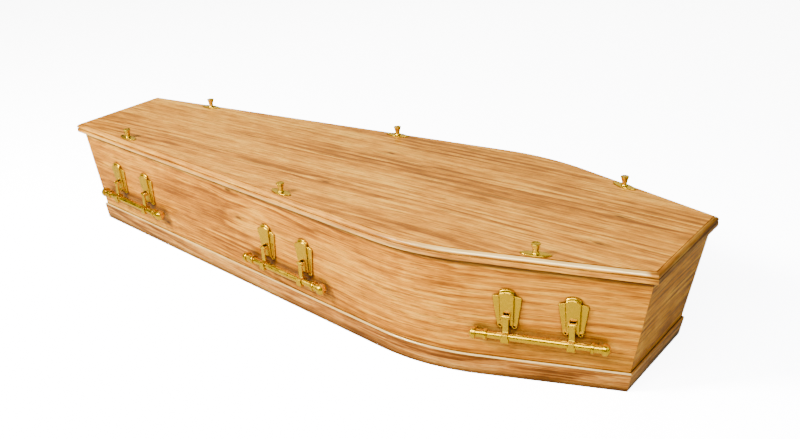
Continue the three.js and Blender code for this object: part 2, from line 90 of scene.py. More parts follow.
# Handle back plate, with heights from its hinge line up or down the face
WING_TOP_WIDTH = 70
WING_FOOT_WIDTH = 49
WING_ABOVE = 51
WING_BELOW = 31
WING_SLOPE = 3
WING_CORNER = 4
WING_CORNER_TURN = 80
WING_THICKNESS = 3.8
WING_ROUND = 1.2
SCROLL_RADIUS = 7
SCROLL_HOLE = 2.9
SCROLL_HOLE_DROP = 1
CURL_RADIUS = 1.7
CURL_LAP = 0.9
CURL_START = -215
CURL_END = 40
CURL_SINK = 0.4
RIDGE_OFF = 2.6
RIDGE_RADIUS = 1.3
RIDGE_SINK = 0.3
RIDGE_FOOT_GAP = 9
RIDGE_TOP_GAP = 1
STRAP_TOP_WIDTH = 36
STRAP_FOOT_WIDTH = 29
STRAP_ABOVE = 67.5
STRAP_BELOW = 29
STRAP_THICKNESS = 9
STRAP_ROUND = 1.4
STRAP_EDGE = 0.9
STRAP_ARCH = 6
STRAP_TIP = 4.2
TIP_ROUND_OUT = 0.9
TIP_ROUND_DROP = 0.8
STRAP_STEPS = 40
FOOT_CHAMFER = 2
FOLD_HEIGHT = 8
FOLD_RADIUS = 3
FOLD_TURN = 50
FOLD_THICKNESS = 6.5
FOLD_RISE = 2.5
FOLD_ARRIS = 0.4
LUG_THICKNESS = 2.2
LUG_RADIUS = 4.8
LUG_ROUND = 0.5

# Handle arm and bar
ARM_WIDTH = 14
ARM_THICKNESS = 5.2
ARM_DROP = 52
ARM_GAP = 0.4
ARM_ROUND = 0.7
EYE_RADIUS = 5.4
PIN_RADIUS = 2.2
PIN_REACH = 0.8
SWELL_ABOVE = 2
SWELL_HEIGHT = 6
SWELL_STEPS = 10
COLLAR_WIDTH = 19
COLLAR_WALL = 3
COLLAR_CORNER = 2.5
COLLAR_LAP = 4
BAR_LENGTH = 336
BAR_RADIUS = 9.4
BAR_HOLE = 9.8
RING_RADIUS = 13.6
RING_WIDTH = 8
NECK_RADIUS = 10.8
NECK_WIDTH = 19
KNOB_RADIUS = 15.2
KNOB_WIDTH = 11
DOME_HEIGHT = 7

# Turned details. The pin's head is in shares of its radius, and in from its end. The bar's swell is past
# its radius, from its middle. The edges are in from the full radius, and along from the side or the crown.
PIN_HEAD = ((0, 0), (0.5, 0.1), (0.85, 0.4), (1, 0.8))
BAR_SWELL = ((0.35, 0), (0.3, 30), (0, 62), (-0.1, 90), (-0.6, 108))
RING_EDGE = ((1.2, 0), (0.3, 0.6), (0, 1.8))
NECK_WAIST = 0.4
KNOB_EDGE = ((1.4, 0), (0.3, 0.7), (0, 2))
KNOB_CROWN = ((0, -1.6), (0.5, -0.4), (1.6, 0.5), (3.6, 2.6), (6.1, 5), (9.7, 6.4))

# Lid screw plates
LEAF_LENGTH = 74
LEAF_WIDTH = 27
LEAF_THICKNESS = 2.4
LEAF_BEVEL = 0.9
LEAF_POINT = 0.2
LEAF_STEPS = 40

# Steps of the long boards and of their small rounds
FOOT_STEPS = 30
BEND_STEPS = 32
HEAD_STEPS = 16
END_STEPS = 6
WALL_STEPS = 8
ROUND_STEPS = 10
HOLE_SIDES = 24

# How far the cutters for the screws' holes run past the boards and past the leaf plates
CUT_OVER = 5
LEAF_CUT_OVER = 1


def side_line(plan, side, foot, head):
    """One side of a plan from foot to head, moved in by side and its ends by foot and head."""
    leg_in = (plan.shoulder - plan.foot).normalized()
    leg_out = (plan.head - plan.shoulder).normalized()
    inward_in = Vector((leg_in.y, -leg_in.x))
    inward_out = Vector((leg_out.y, -leg_out.x))
    centre = plan.shoulder + (inward_in + inward_out) * (plan.bend / (1 + inward_in.dot(inward_out)))
    start = math.atan2(-inward_in.y, -inward_in.x)
    end = math.atan2(-inward_out.y, -inward_out.x)
    bend = []
    for i in range(BEND_STEPS + 1):
        angle = start + (end - start) * i / BEND_STEPS
        bend.append(centre + Vector((math.cos(angle), math.sin(angle))) * (plan.bend - side))
    foot_point = plan.foot + inward_in * side
    foot_point += leg_in * ((plan.foot.x + foot - foot_point.x) / leg_in.x)
    head_point = plan.head + inward_out * side
    head_point += leg_out * ((plan.head.x - head - head_point.x) / leg_out.x)
    foot_leg = [foot_point.lerp(bend[0], i / FOOT_STEPS) for i in range(FOOT_STEPS)]
    head_leg = [bend[-1].lerp(head_point, i / HEAD_STEPS) for i in range(1, HEAD_STEPS + 1)]
    return foot_leg + bend + head_leg


def box_side(z, depth, end_gap=0.0):
    """The box's outer face at height z, moved in by depth, as one side from foot to head."""
    low = PLINTH_THICKNESS + depth
    floor_line = side_line(FLOOR_PLAN, low, low + end_gap, low + end_gap)
    foot = LID_FOOT_OVERHANG + depth + end_gap
    head = LID_HEAD_OVERHANG + depth + end_gap
    lid_line = side_line(LID_PLAN, LID_SIDE_OVERHANG + depth, foot, head)
    return [a.lerp(b, z / BOX_HEIGHT) for a, b in zip(floor_line, lid_line)]


def at_station(line, x):
    """The point of a side line at station x."""
    for a, b in zip(line, line[1:]):
        if b.x >= x:
            return a.lerp(b, (x - a.x) / (b.x - a.x))
    return line[-1]


def distances(points):
    """How far along a row of points each one is."""
    run = [0.0]
    for a, b in zip(points, points[1:]):
        run.append(run[-1] + (b - a).length)
    return run


# Mesh and object helpers

def make_object(name, bm, material, body, nodes, smooth_angle=35, painted_light_of=None):
    """Turns a bmesh in millimetres into a piece that rides on a body and stands for CAD nodes. The painted
    light and shade at each point may come from a function of its place."""
    bmesh.ops.scale(bm, vec=(MM, MM, MM), verts=bm.verts)
    mesh = bpy.data.meshes.new(name)
    bm.to_mesh(mesh)
    bm.free()
    mesh.shade_smooth()
    mesh.set_sharp_from_angle(angle=math.radians(smooth_angle))
    piece = bpy.data.objects.new(name, mesh)
    bpy.context.scene.collection.objects.link(piece)
    piece.data.materials.append(material)
    if painted_light_of:
        painted_light = mesh.attributes.new("painted_light", "FLOAT", "POINT")
        painted_light.data.foreach_set("value", [painted_light_of(vert.co / MM) for vert in mesh.vertices])
    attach(piece, body)
    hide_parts(*nodes)
    return piece


def skin(rows, uv_of=None, cap_uv=None):
    """A closed skin over rows of points that are closed loops, with flat caps on the first and last row.
    The grain's map, where it is wanted, comes from the row, the point and the face's first point."""
    bm = bmesh.new()
    layer = bm.loops.layers.uv.new("grain") if uv_of else None
    verts = [[bm.verts.new(p) for p in row] for row in rows]
    count = len(rows[0])
    for r in range(len(rows) - 1):
        for i in range(count):
            corners = [(r, i), (r, i + 1), (r + 1, i + 1), (r + 1, i)]
            face = bm.faces.new([verts[a][b % count] for a, b in corners])
            if uv_of:
                for loop, (a, b) in zip(face.loops, corners):
                    loop[layer].uv = uv_of(a, b, i)
    for row in (verts[0], verts[-1]):
        face = bm.faces.new(row)
        if uv_of:
            for loop in face.loops:
                loop[layer].uv = cap_uv(loop.vert.co)
    bmesh.ops.recalc_face_normals(bm, faces=bm.faces)
    return bm


def to_temporary(bm):
    mesh = bpy.data.meshes.new("temporary")
    bm.to_mesh(mesh)
    bm.free()
    thing = bpy.data.objects.new("temporary", mesh)
    bpy.context.scene.collection.objects.link(thing)
    return thing


def combine(base, tool, operation):
    """Joins or cuts one bmesh with another. Both are used up."""
    body = to_temporary(base)
    cutter = to_temporary(tool)
    modifier = body.modifiers.new("combine", "BOOLEAN")
    modifier.operation = operation
    modifier.object = cutter
    modifier.solver = "EXACT"
    result = bmesh.new()
    result.from_object(body, bpy.context.evaluated_depsgraph_get())
    for thing in (body, cutter):
        mesh = thing.data
        bpy.data.objects.remove(thing)
        bpy.data.meshes.remove(mesh)
    return result


def join(first, *others):
    for other in others:
        first = combine(first, other, "UNION")
    return first


def rod(radius, length, sides=HOLE_SIDES):
    """A plain cutter along local Z, about its own middle."""
    bm = bmesh.new()
    bmesh.ops.create_cone(bm, cap_ends=True, segments=sides, radius1=radius, radius2=radius, depth=length)
    return bm


def drill(bm, holes):
    """Cuts upright round holes, given as x, y, low z, high z and radius."""
    for x, y, low, high, radius in holes:
        cutter = rod(radius, high - low)
        bmesh.ops.translate(cutter, vec=(x, y, (low + high) / 2), verts=cutter.verts)
        bm = combine(bm, cutter, "DIFFERENCE")
    return bm


# Materials

# Colours that the three oaks share, and those of the gilt. The pale oak is a painted highlight, and the
# stained oak and the oak's and the gilt's corner colours are painted shade
PAINTED_HIGHLIGHT_OAK = (0.95, 0.76, 0.42)
PAINTED_SHADE_OAK = (0.105, 0.048, 0.018)
KNOT_CORE = (0.06, 0.022, 0.006)
OAK_CORNER_SHADE = (0.050, 0.017, 0.003)
GILT_DEEP = (0.66, 0.44, 0.001)
GILT_PALE = (0.76, 0.54, 0.002)
GILT_CORNER_SHADE = (0.07, 0.032, 0.002)

# How far, in metres, the painted shade in the corners of each material reaches
OAK_CORNER_SHADE_REACH = 0.030
GILT_CORNER_SHADE_REACH = 0.008


class Nodes:
    """Short names for building a material's node tree."""

    def __init__(self, name):
        self.material = bpy.data.materials.new(name)
        self.material.use_nodes = True
        self.tree = self.material.node_tree
        self.shader = self.tree.nodes["Principled BSDF"]

    def put(self, socket, value):
        if isinstance(value, bpy.types.NodeSocket):
            self.tree.links.new(value, socket)
        else:
            socket.default_value = value

    def node(self, kind, inputs=(), **settings):
        made = self.tree.nodes.new("ShaderNode" + kind)
        for key, value in settings.items():
            setattr(made, key, value)
        for key, value in dict(inputs).items():
            self.put(made.inputs[key], value)
        return made

    def math(self, operation, a, b=0.0):
        return self.node("Math", {0: a, 1: b}, operation=operation).outputs[0]

    def add(self, a, b):
        return self.math("ADD", a, b)

    def times(self, a, b):
        return self.math("MULTIPLY", a, b)

    def span(self, value, low, high, to_low=0.0, to_high=1.0):
        inputs = {0: value, 1: low, 2: high, 3: to_low, 4: to_high}
        return self.node("MapRange", inputs, interpolation_type="SMOOTHSTEP").outputs[0]

    def point(self, x, y, z=0.0):
        return self.node("CombineXYZ", {0: x, 1: y, 2: z}).outputs[0]

    def noise(self, vector, scale=1.0, detail=2.0, roughness=0.5):
        inputs = {"Vector": vector, "Scale": scale, "Detail": detail, "Roughness": roughness}
        return self.node("TexNoise", inputs).outputs["Fac"]

    def ramp(self, value, stops):
        made = self.node("ValToRGB", {0: value})
        elements = made.color_ramp.elements
        while len(elements) < len(stops):
            elements.new(0.5)
        for element, (place, colour) in zip(elements, stops):
            element.position = place
            element.color = (*colour, 1)
        return made.outputs["Color"]

    def mix(self, share, a, b):
        return self.node("Mix", {0: share, 6: a, 7: b}, data_type="RGBA").outputs[2]

    def bump(self, height, distance, strength):
        inputs = {"Height": height, "Distance": distance, "Strength": strength}
        return self.node("Bump", inputs).outputs["Normal"]


def oak(name, stops, pore_colour, figure=1.0, knot_share=0.25):
    """Lacquered crown-cut oak: the map named grain gives metres along and across the grain."""
    n = Nodes(name)
    place = n.node("SeparateXYZ", {0: n.node("UVMap", uv_map="grain").outputs["UV"]})
    along, across = place.outputs[0], place.outputs[1]

    def grain(line, per_along, per_across, seed=0.0, **settings):
        """Noise drawn out along the grain, at so many cells in a metre along it and across it."""
        return n.noise(n.point(n.times(along, per_along), n.times(line, per_across), seed), **settings)

    def tint(base, mask, share, shade):
        """The base colour with a share of a shade where the mask is."""
        return n.mix(n.times(mask, share), base, (*shade, 1))

    # Small knots, round which the grain bows
    cell_long, cell_wide = 2.6, 9.0
    cells = n.node(
        "TexVoronoi",
        {"Vector": n.point(n.times(along, cell_long), n.times(across, cell_wide)), "Scale": 1.0},
        voronoi_dimensions="2D",
    )
    chosen = n.node("SeparateColor", {0: cells.outputs["Color"]})
    has_knot = n.math("LESS_THAN", chosen.outputs[0], knot_share)
    near = n.times(has_knot, n.span(cells.outputs["Distance"], 0.0, 0.42, 1.0, 0.0))
    knot_place = n.node("SeparateXYZ", {0: cells.outputs["Position"]})
    off_knot = n.math("SUBTRACT", across, n.times(knot_place.outputs[1], 1 / cell_wide))
    bowed = n.math("SUBTRACT", across, n.times(n.times(near, off_knot), 0.7))

    # Slow waves in the run of the grain
    wave = grain(bowed, 1.4, 3.0, detail=2.0)
    waved = n.add(bowed, n.times(n.math("SUBTRACT", wave, 0.5), 0.028 * figure))

    # Growth rings: level lines of a long soft field, which close into pointed arches
    field = grain(waved, 0.6, 4.0, 3.0, detail=1.0)
    ripple = grain(waved, 7.0, 60.0, detail=3.0)
    rings = n.add(n.times(field, 13.0 * figure), n.times(waved, 34.0))
    phase = n.math("FRACT", n.add(rings, n.times(ripple, 0.5)))
    late = n.times(n.span(phase, 0.1, 0.9), n.span(phase, 0.9, 1.0, 1.0, 0.0))
    clear = grain(waved, 1.1, 6.0, 21.0, detail=2.0)
    late = n.times(late, n.span(clear, 0.42, 0.62))

    # Streaks and fibres, long along the grain, and broad changes of tone
    streak = grain(waved, 2.8, 95.0, 1.0, detail=6.0, roughness=0.74)
    fibre = grain(waved, 9.0, 480.0, 2.0, detail=3.0, roughness=0.6)
    broad = grain(waved, 0.9, 9.0, 5.0, detail=2.0)
    mottle = grain(waved, 14.0, 36.0, 7.0, detail=3.0)

    tone = n.add(n.times(streak, 1.15), n.times(fibre, 0.62))
    tone = n.add(tone, n.times(broad, 0.42))
    tone = n.add(tone, n.times(mottle, 0.34))
    tone = n.math("SUBTRACT", tone, n.times(late, 0.22))
    tone = n.node("MapRange", {0: tone, 1: 1.03, 2: 1.40}).outputs[0]
    colour = n.ramp(tone, stops)

    # Pores: short dark dashes, denser in the early wood
    dashes = grain(waved, 38.0, 1300.0, 9.0, detail=1.0)
    early = n.math("SUBTRACT", 1.0, n.times(late, 0.6))
    pores = n.times(n.span(dashes, 0.58, 0.68), early)
    colour = tint(colour, pores, 0.6, pore_colour)

    # Dark flecks and drawn out streaks, pale streaks, and the knots with their stained rims
    dark = grain(waved, 5.5, 110.0, 12.0, detail=3.0, roughness=0.7)
    colour = tint(colour, n.span(dark, 0.55, 0.70), 0.8, pore_colour)
    fleck = grain(waved, 17.0, 270.0, 18.0, detail=2.0)
    colour = tint(colour, n.span(fleck, 0.60, 0.70), 0.6, pore_colour)
    pale = grain(waved, 2.0, 85.0, 15.0, detail=3.0)
    colour = tint(colour, n.span(pale, 0.56, 0.74), 0.4, stops[-1][1])
    core = n.times(has_knot, n.span(cells.outputs["Distance"], 0.015, 0.05, 1.0, 0.0))
    halo = n.times(has_knot, n.span(cells.outputs["Distance"], 0.03, 0.15, 1.0, 0.0))
    colour = tint(colour, halo, 0.35, pore_colour)
    colour = tint(colour, core, 0.8, KNOT_CORE)

    # Painted shade: corners, joints and the wood round the fittings are darkened where they are closed in
    corner = n.node("AmbientOcclusion", {"Distance": OAK_CORNER_SHADE_REACH}, samples=8).outputs["AO"]
    colour = n.mix(n.span(corner, 0.45, 0.93, 0.95, 0.0), colour, (*OAK_CORNER_SHADE, 1))

    # Painted highlight, pale under a glossier coat, where the attribute is above 0; painted shade below 0
    painted_light_and_shade = n.node("Attribute", attribute_name="painted_light").outputs["Fac"]
    painted_light = n.math("MAXIMUM", painted_light_and_shade, 0.0)
    painted_shade = n.math("MAXIMUM", n.times(painted_light_and_shade, -1.0), 0.0)
    colour = tint(colour, painted_shade, 0.6, PAINTED_SHADE_OAK)
    painted_highlight = n.times(painted_light, n.span(mottle, 0.2, 0.6, 0.75, 1.0))
    colour = tint(colour, painted_highlight, 0.85, PAINTED_HIGHLIGHT_OAK)
    n.put(n.shader.inputs["Base Color"], colour)

    rough = n.add(0.36, n.times(n.math("SUBTRACT", fibre, 0.5), 0.12))
    n.put(n.shader.inputs["Roughness"], n.add(rough, n.times(pores, 0.12)))
    n.shader.inputs["Specular IOR Level"].default_value = 0.15
    n.put(n.shader.inputs["Coat Weight"], n.add(0.12, n.times(painted_light, 0.88)))
    n.shader.inputs["Coat Roughness"].default_value = 0.17
    n.put(n.shader.inputs["Coat IOR"], n.add(1.5, n.times(painted_light, 0.9)))
    relief = n.add(n.times(fibre, 0.35), n.times(streak, 0.25))
    relief = n.math("SUBTRACT", relief, n.times(pores, 0.6))
    n.put(n.shader.inputs["Normal"], n.bump(relief, 0.00025, 0.6))
    return n.material


def gilt_metal():
    """Polished gilt with faint smears, a slightly clouded surface and painted shade in the corners and
    creases.
    """
    n = Nodes("gilt")
    place = n.node("TexCoord").outputs["Object"]
    smear = n.noise(place, scale=45.0, detail=3.0)
    cloud = n.noise(place, scale=160.0, detail=2.0)
    colour = n.mix(smear, (*GILT_DEEP, 1), (*GILT_PALE, 1))
    # Painted shade: corners and creases are darkened where they are closed in
    corner = n.node("AmbientOcclusion", {"Distance": GILT_CORNER_SHADE_REACH}, samples=8).outputs["AO"]
    colour = n.mix(n.span(corner, 0.30, 0.80, 0.95, 0.0), colour, (*GILT_CORNER_SHADE, 1))
    n.put(n.shader.inputs["Base Color"], colour)
    n.shader.inputs["Metallic"].default_value = 1.0
    n.put(n.shader.inputs["Roughness"], n.span(smear, 0.2, 0.8, 0.20, 0.34))
    n.put(n.shader.inputs["Normal"], n.bump(cloud, 0.00012, 0.25))
    return n.material


LID_OAK = oak(
    "lid_oak",
    [(0.0, (0.240, 0.083, 0.008)), (0.3, (0.460, 0.178, 0.014)), (0.6, (0.660, 0.285, 0.024)),
     (0.82, (0.800, 0.385, 0.045)), (1.0, (0.940, 0.550, 0.105))],
    pore_colour=(0.170, 0.056, 0.006),
    figure=0.5,
    knot_share=0.2,
)
BOX_OAK = oak(
    "box_oak",
    [(0.0, (0.230, 0.074, 0.004)), (0.3, (0.460, 0.168, 0.007)), (0.6, (0.650, 0.266, 0.012)),
     (0.82, (0.790, 0.360, 0.025)), (1.0, (0.930, 0.510, 0.070))],
    pore_colour=(0.170, 0.052, 0.004),
    figure=1.25,
)
PLINTH_OAK = oak(
    "plinth_oak",
    [(0.0, (0.140, 0.046, 0.010)), (0.3, (0.320, 0.120, 0.024)), (0.6, (0.500, 0.210, 0.042)),
     (0.82, (0.640, 0.300, 0.070)), (1.0, (0.800, 0.450, 0.140))],
    pore_colour=(0.120, 0.038, 0.008),
    figure=0.9,
    knot_share=0.1,
)
GILT = gilt_metal()

# Where each board's pattern starts in the oak: a number of steps, in metres, so that no two boards match.
# The lid's top is at 0 and its strips are at 1 to 4. Of a pair, the second is one step on.
PATTERN_STEP = 7.31
BASE_PATTERN = 5
SIDE_PATTERN = 10
SIDE_PLINTH_PATTERN = 14
END_PATTERN = 18
END_PLINTH_PATTERN = 22


def nodes_named(start):
    return sorted(name for name in frame["nodes"] if name.startswith(start))


def board(name, rows, section, along_of, material, nodes, pattern, holes=(), painted_light_of=None):
    """A board with its section at every row; the grain runs from row to row."""
    offset = pattern * PATTERN_STEP
    around = distances([Vector(p) for p in section] + [Vector(section[0])])

    def uv_of(r, i, _column):
        return (along_of[r] * MM + offset, around[i] * MM + offset)

    def cap_uv(co):
        return (co.y * MM + offset, co.z * MM + offset)

    bm = skin(rows, uv_of, cap_uv)
    if holes:
        bm = drill(bm, holes)
    return make_object(name, bm, material, BODY, nodes, painted_light_of=painted_light_of)


def side_run(section, hand):
    """Rows of a section along one side, and how far along the board each row is."""
    lines = [box_side(z, depth, MITRE_GAP) for depth, z in section]
    rows = []
    for i in range(len(lines[0])):
        rows.append([Vector((line[i].x, hand * line[i].y, z)) for line, (_, z) in zip(lines, section)])
    return rows, distances([row[0] for row in rows])


def end_run(section, at_head):
    """Rows of a section across the foot or head end."""
    corners = []
    for hand in (1, -1):
        row = []
        for depth, z in section:
            corner = box_side(z, depth)[-1 if at_head else 0]
            row.append(Vector((corner.x, hand * (corner.y - MITRE_GAP), z)))
        corners.append(row)
    rows = []
    for k in range(END_STEPS + 1):
        rows.append([a.lerp(b, k / END_STEPS) for a, b in zip(*corners)])
    return rows, distances([row[0] for row in rows])


# How far below the lid the boards get painted shade in full, where that ends, and the room for rounding
# errors
SHADE_HEIGHT = 11
SHADE_FADE = 17
LEVEL_SLACK = 0.1


def wall_section():
    """A board's section as pairs of depth and height, with levels where the shade under the lid ends."""
    levels = [BOX_HEIGHT * i / WALL_STEPS for i in range(WALL_STEPS)]
    levels += [BOX_HEIGHT - SHADE_FADE, BOX_HEIGHT - SHADE_HEIGHT, BOX_HEIGHT]
    return [(0, z) for z in levels] + [(BOARD, z) for z in reversed(levels)]


def plinth_section():
    front = -PLINTH_THICKNESS
    section = [(-TOUCH_GAP, 0), (-TOUCH_GAP, PLINTH_HEIGHT)]
    for i in range(ROUND_STEPS, -1, -1):
        angle = math.pi / 2 * i / ROUND_STEPS
        depth = front + PLINTH_ROUND * (1 - math.cos(angle))
        section.append((depth, PLINTH_HEIGHT - PLINTH_ROUND * (1 - math.sin(angle))))
    return section + [(front, PLINTH_HEIGHT / 2), (front, 0)]


def wall_painted_shade(co):
    """Painted shade: the boards are darkened close under the lid's overhang."""
    return -1.0 if co.z > BOX_HEIGHT - SHADE_HEIGHT - LEVEL_SLACK else 0.0


def plinth_painted_highlight(co):
    """Painted highlight on the plinth's rounded top edge along the sides."""
    return 0.8 if PLINTH_HEIGHT - PLINTH_ROUND * 0.8 < co.z < PLINTH_HEIGHT - 0.2 else 0.0


def lid_profile():
    """The lid's edge from its underside up, as pairs of inset and height."""
    groove_top = BAND_HEIGHT + GROOVE_HEIGHT
    edge = [(BAND_SETBACK + BAND_ARRIS, 0), (BAND_SETBACK, BAND_ARRIS)]
    edge += [(BAND_SETBACK, BAND_HEIGHT - BAND_ARRIS), (BAND_SETBACK + BAND_ARRIS / 2, BAND_HEIGHT)]
    edge += [(GROOVE_DEPTH, BAND_HEIGHT + GROOVE_HEIGHT / 3), (GROOVE_DEPTH, groove_top)]
    for i in range(1, ROUND_STEPS + 1):
        angle = math.pi / 2 * i / ROUND_STEPS
        edge.append((ROUND_RADIUS * (1 - math.cos(angle)), groove_top + ROUND_RADIUS * math.sin(angle)))
    return edge + [(ROUND_RADIUS, groove_top + ROUND_RADIUS + LID_STEP)]


# Where along the lid the painted highlight on the edge begins to grow, over what length it grows, and
# between which turns of the round, in degrees up from its side, it is painted
HIGHLIGHT_FROM = 430
HIGHLIGHT_RISE = 110
HIGHLIGHT_LOW_TURN = 25
HIGHLIGHT_HIGH_TURN = 80


def make_lid(holes):
    """The lid: a flat veneered top with the grain along it, and mitred strips along its moulded edge."""
    profile = lid_profile()
    rows = []
    for depth, z in profile:
        line = side_line(LID_PLAN, depth, depth, depth)
        left = [Vector((p.x, p.y, LID_UNDERSIDE + z)) for p in line]
        right = [Vector((p.x, -p.y, LID_UNDERSIDE + z)) for p in reversed(line)]
        rows.append(left + right)
    along = distances(rows[0] + rows[0][:1])
    up = distances([Vector(p) for p in profile])
    side_points = len(rows[0]) // 2

    def uv_of(r, i, column):
        strip = (column >= side_points - 1) + (column >= side_points) + (column >= 2 * side_points - 1)
        offset = (strip + 1) * PATTERN_STEP
        return (along[i] * MM + offset, up[r] * MM + offset)

    bm = skin(rows, uv_of, lambda co: (co.x * MM, co.y * MM))
    low, high = LID_UNDERSIDE - CUT_OVER, LID_TOP + CUT_OVER
    bm = drill(bm, [(x, y, low, high, radius) for x, y, _, _, radius in holes])

    def painted_light_of(co):
        """Painted highlight along the sides: on the round, stronger from the shoulders to the head end,
        and on the band below it, stronger towards the foot end. Painted shade on both ends."""
        height = co.z - LID_UNDERSIDE
        rise = (height - BAND_HEIGHT - GROOVE_HEIGHT) / ROUND_RADIUS
        turn = math.degrees(math.asin(min(1, max(0, rise))))
        share = min(1, max(0, (co.x - HIGHLIGHT_FROM) / HIGHLIGHT_RISE))
        if abs(co.x) > LID_LENGTH / 2 - ROUND_RADIUS:
            return -1.0 if 0 < height and turn < HIGHLIGHT_HIGH_TURN else 0.0
        if HIGHLIGHT_LOW_TURN < turn < HIGHLIGHT_HIGH_TURN:
            return 0.1 + 0.9 * share
        return 0.5 - 0.4 * share if 0 < height < BAND_HEIGHT - 1 else 0.0

    return make_object(
        "lid_board", bm, LID_OAK, BODY, ["lid"], smooth_angle=40, painted_light_of=painted_light_of,
    )


# How much of the oak's map each point of the base's thin edge takes, in metres
BASE_MAP_STEP = 0.01


def make_base():
    depth = BOARD + TOUCH_GAP
    rows = []
    for z in (0, BASE):
        line = box_side(z, depth)
        left = [Vector((p.x, p.y, z)) for p in line]
        right = [Vector((p.x, -p.y, z)) for p in reversed(line)]
        rows.append(left + right)
    offset = BASE_PATTERN * PATTERN_STEP

    def uv_of(r, i, _column):
        return (i * BASE_MAP_STEP + offset, r * BASE * MM + offset)

    bm = skin(rows, uv_of, lambda co: (co.x * MM + offset, co.y * MM + offset))
    return make_object("base", bm, BOX_OAK, BODY, ["base_board"])


# Lid furniture

SCREW_STATIONS = {
    "foot": -LID_LENGTH / 2 + 269,
    "middle": -LID_LENGTH / 2 + 997,
    "head": LID_LENGTH / 2 - 274,
}
SCREW_INSET = 25.5
HANDS = {"left": 1, "right": -1}
SHANK_RADIUS = 3
SHANK_IN_BOARD = 24
SHANK_POINT = 3
HOLE_GAP = 0.4

# Thumbscrew, as pairs of radius and height: its collar above the leaf plate, and its flare and dished top
# above the neck. The rim's middle and its own radius are in the same heights.
SCREW_NECK = 7.4
SCREW_COLLAR = ((8.2, 0), (8.6, 0.5), (8.3, 1.5), (7.1, 2.4), (6.9, 3.4))
SCREW_FLARE = ((6.8, 0), (7.1, 2), (7.7, 5), (8.5, 8), (9.5, 11.5), (10.6, 14.8), (10.9, 15.6))
SCREW_RIM = (10.4, 17.1)
SCREW_RIM_RADIUS = 0.9
SCREW_DISH = ((8.6, 17.7), (7.6, 17.1), (4.0, 17.4), (0, 17.8))


def screw_place(hand, x):
    """The point on the lid above the side board, with the turn of the leaf there."""
    line = side_line(LID_PLAN, SCREW_INSET, 0, 0)
    here = at_station(line, x)
    ahead = at_station(line, x + 1)
    turn = math.atan2(hand * (ahead.y - here.y), ahead.x - here.x)
    return Matrix.Translation((here.x, hand * here.y, LID_TOP)) @ Matrix.Rotation(turn, 4, "Z")


def screw_holes(hand):
    holes = []
    for x in SCREW_STATIONS.values():
        x0, y0, _ = screw_place(hand, x).translation
        bottom = BOX_HEIGHT - SHANK_IN_BOARD - HOLE_GAP
        holes.append((x0, y0, bottom, BOX_HEIGHT + CUT_OVER, SHANK_RADIUS + HOLE_GAP))
    return holes


def lathe(profile, sides=48, axis="z"):
    """A turned bmesh from (radius, height) pairs that start and end on the axis."""
    bm = bmesh.new()
    rings = []
    for radius, height in profile:
        if radius == 0:
            rings.append([bm.verts.new((0, 0, height))])
            continue
        ring = []
        for k in range(sides):
            angle = 2 * math.pi * k / sides
            ring.append(bm.verts.new((radius * math.cos(angle), radius * math.sin(angle), height)))
        rings.append(ring)
    for low, high in zip(rings, rings[1:]):
        for k in range(sides):
            after = (k + 1) % sides
            corners = []
            for ring, i in ((low, k), (low, after), (high, after), (high, k)):
                vert = ring[i % len(ring)]
                if vert not in corners:
                    corners.append(vert)
            if len(corners) > 2:
                bm.faces.new(corners)
    bmesh.ops.recalc_face_normals(bm, faces=bm.faces)
    if axis == "x":
        bmesh.ops.rotate(bm, matrix=Matrix.Rotation(math.pi / 2, 3, "Y"), verts=bm.verts)
    return bm


def arc(centre_r, centre_z, radius, start, end, steps=6):
    """Points of an arc in a turned profile; the angles are in degrees from straight out."""
    points = []
    for i in range(steps + 1):
        angle = math.radians(start + (end - start) * i / steps)
        points.append((centre_r + radius * math.cos(angle), centre_z + radius * math.sin(angle)))
    return points


def make_thumbscrew(name, place, node):
    seat = 2 * TOUCH_GAP + LEAF_THICKNESS
    neck_top = seat + SCREW_NECK
    bottom = -(LID_TOP - BOX_HEIGHT + SHANK_IN_BOARD)
    profile = [(0, bottom), (SHANK_RADIUS, bottom + SHANK_POINT), (SHANK_RADIUS, seat)]
    profile += [(r, seat + z) for r, z in SCREW_COLLAR]
    profile += [(r, neck_top + z) for r, z in SCREW_FLARE]
    profile += arc(SCREW_RIM[0], neck_top + SCREW_RIM[1], SCREW_RIM_RADIUS, -60, 90)
    profile += [(r, neck_top + z) for r, z in SCREW_DISH]
    bm = lathe(profile)
    bm.transform(place)
    return make_object(name, bm, GILT, BODY, [node], smooth_angle=50)


def inset(outline, amount):
    """A closed outline that runs anticlockwise, moved inwards at every point along its mitre."""
    moved = []
    for i, here in enumerate(outline):
        a = (here - outline[i - 1]).normalized()
        b = (outline[(i + 1) % len(outline)] - here).normalized()
        across = Vector((-a.y - b.y, a.x + b.x))
        moved.append(here + across * (amount / (1 + a.dot(b))))
    return moved


def rounded_slab(outline, thickness, front, back=0.0, steps=4):
    """A plate of a closed outline from z = 0 up, with its front and back edges rounded."""
    levels = []
    for i in range(steps + 1):
        angle = math.pi / 2 * i / steps
        levels.append((back * (1 - math.sin(angle)), back * (1 - math.cos(angle))))
    if back == 0:
        levels = levels[:1]
    for i in range(steps + 1):
        angle = math.pi / 2 * i / steps
        levels.append((front * (1 - math.cos(angle)), thickness - front * (1 - math.sin(angle))))
    rows = [[Vector((p.x, p.y, z)) for p in inset(outline, amount)] for amount, z in levels]
    return skin(rows)


def round_arc(x, y, radius, start, end, steps):
    """Points of an arc in a flat outline, with its angles in degrees."""
    points = []
    for i in range(steps + 1):
        angle = math.radians(start + (end - start) * i / steps)
        points.append(Vector((x + radius * math.cos(angle), y + radius * math.sin(angle))))
    return points


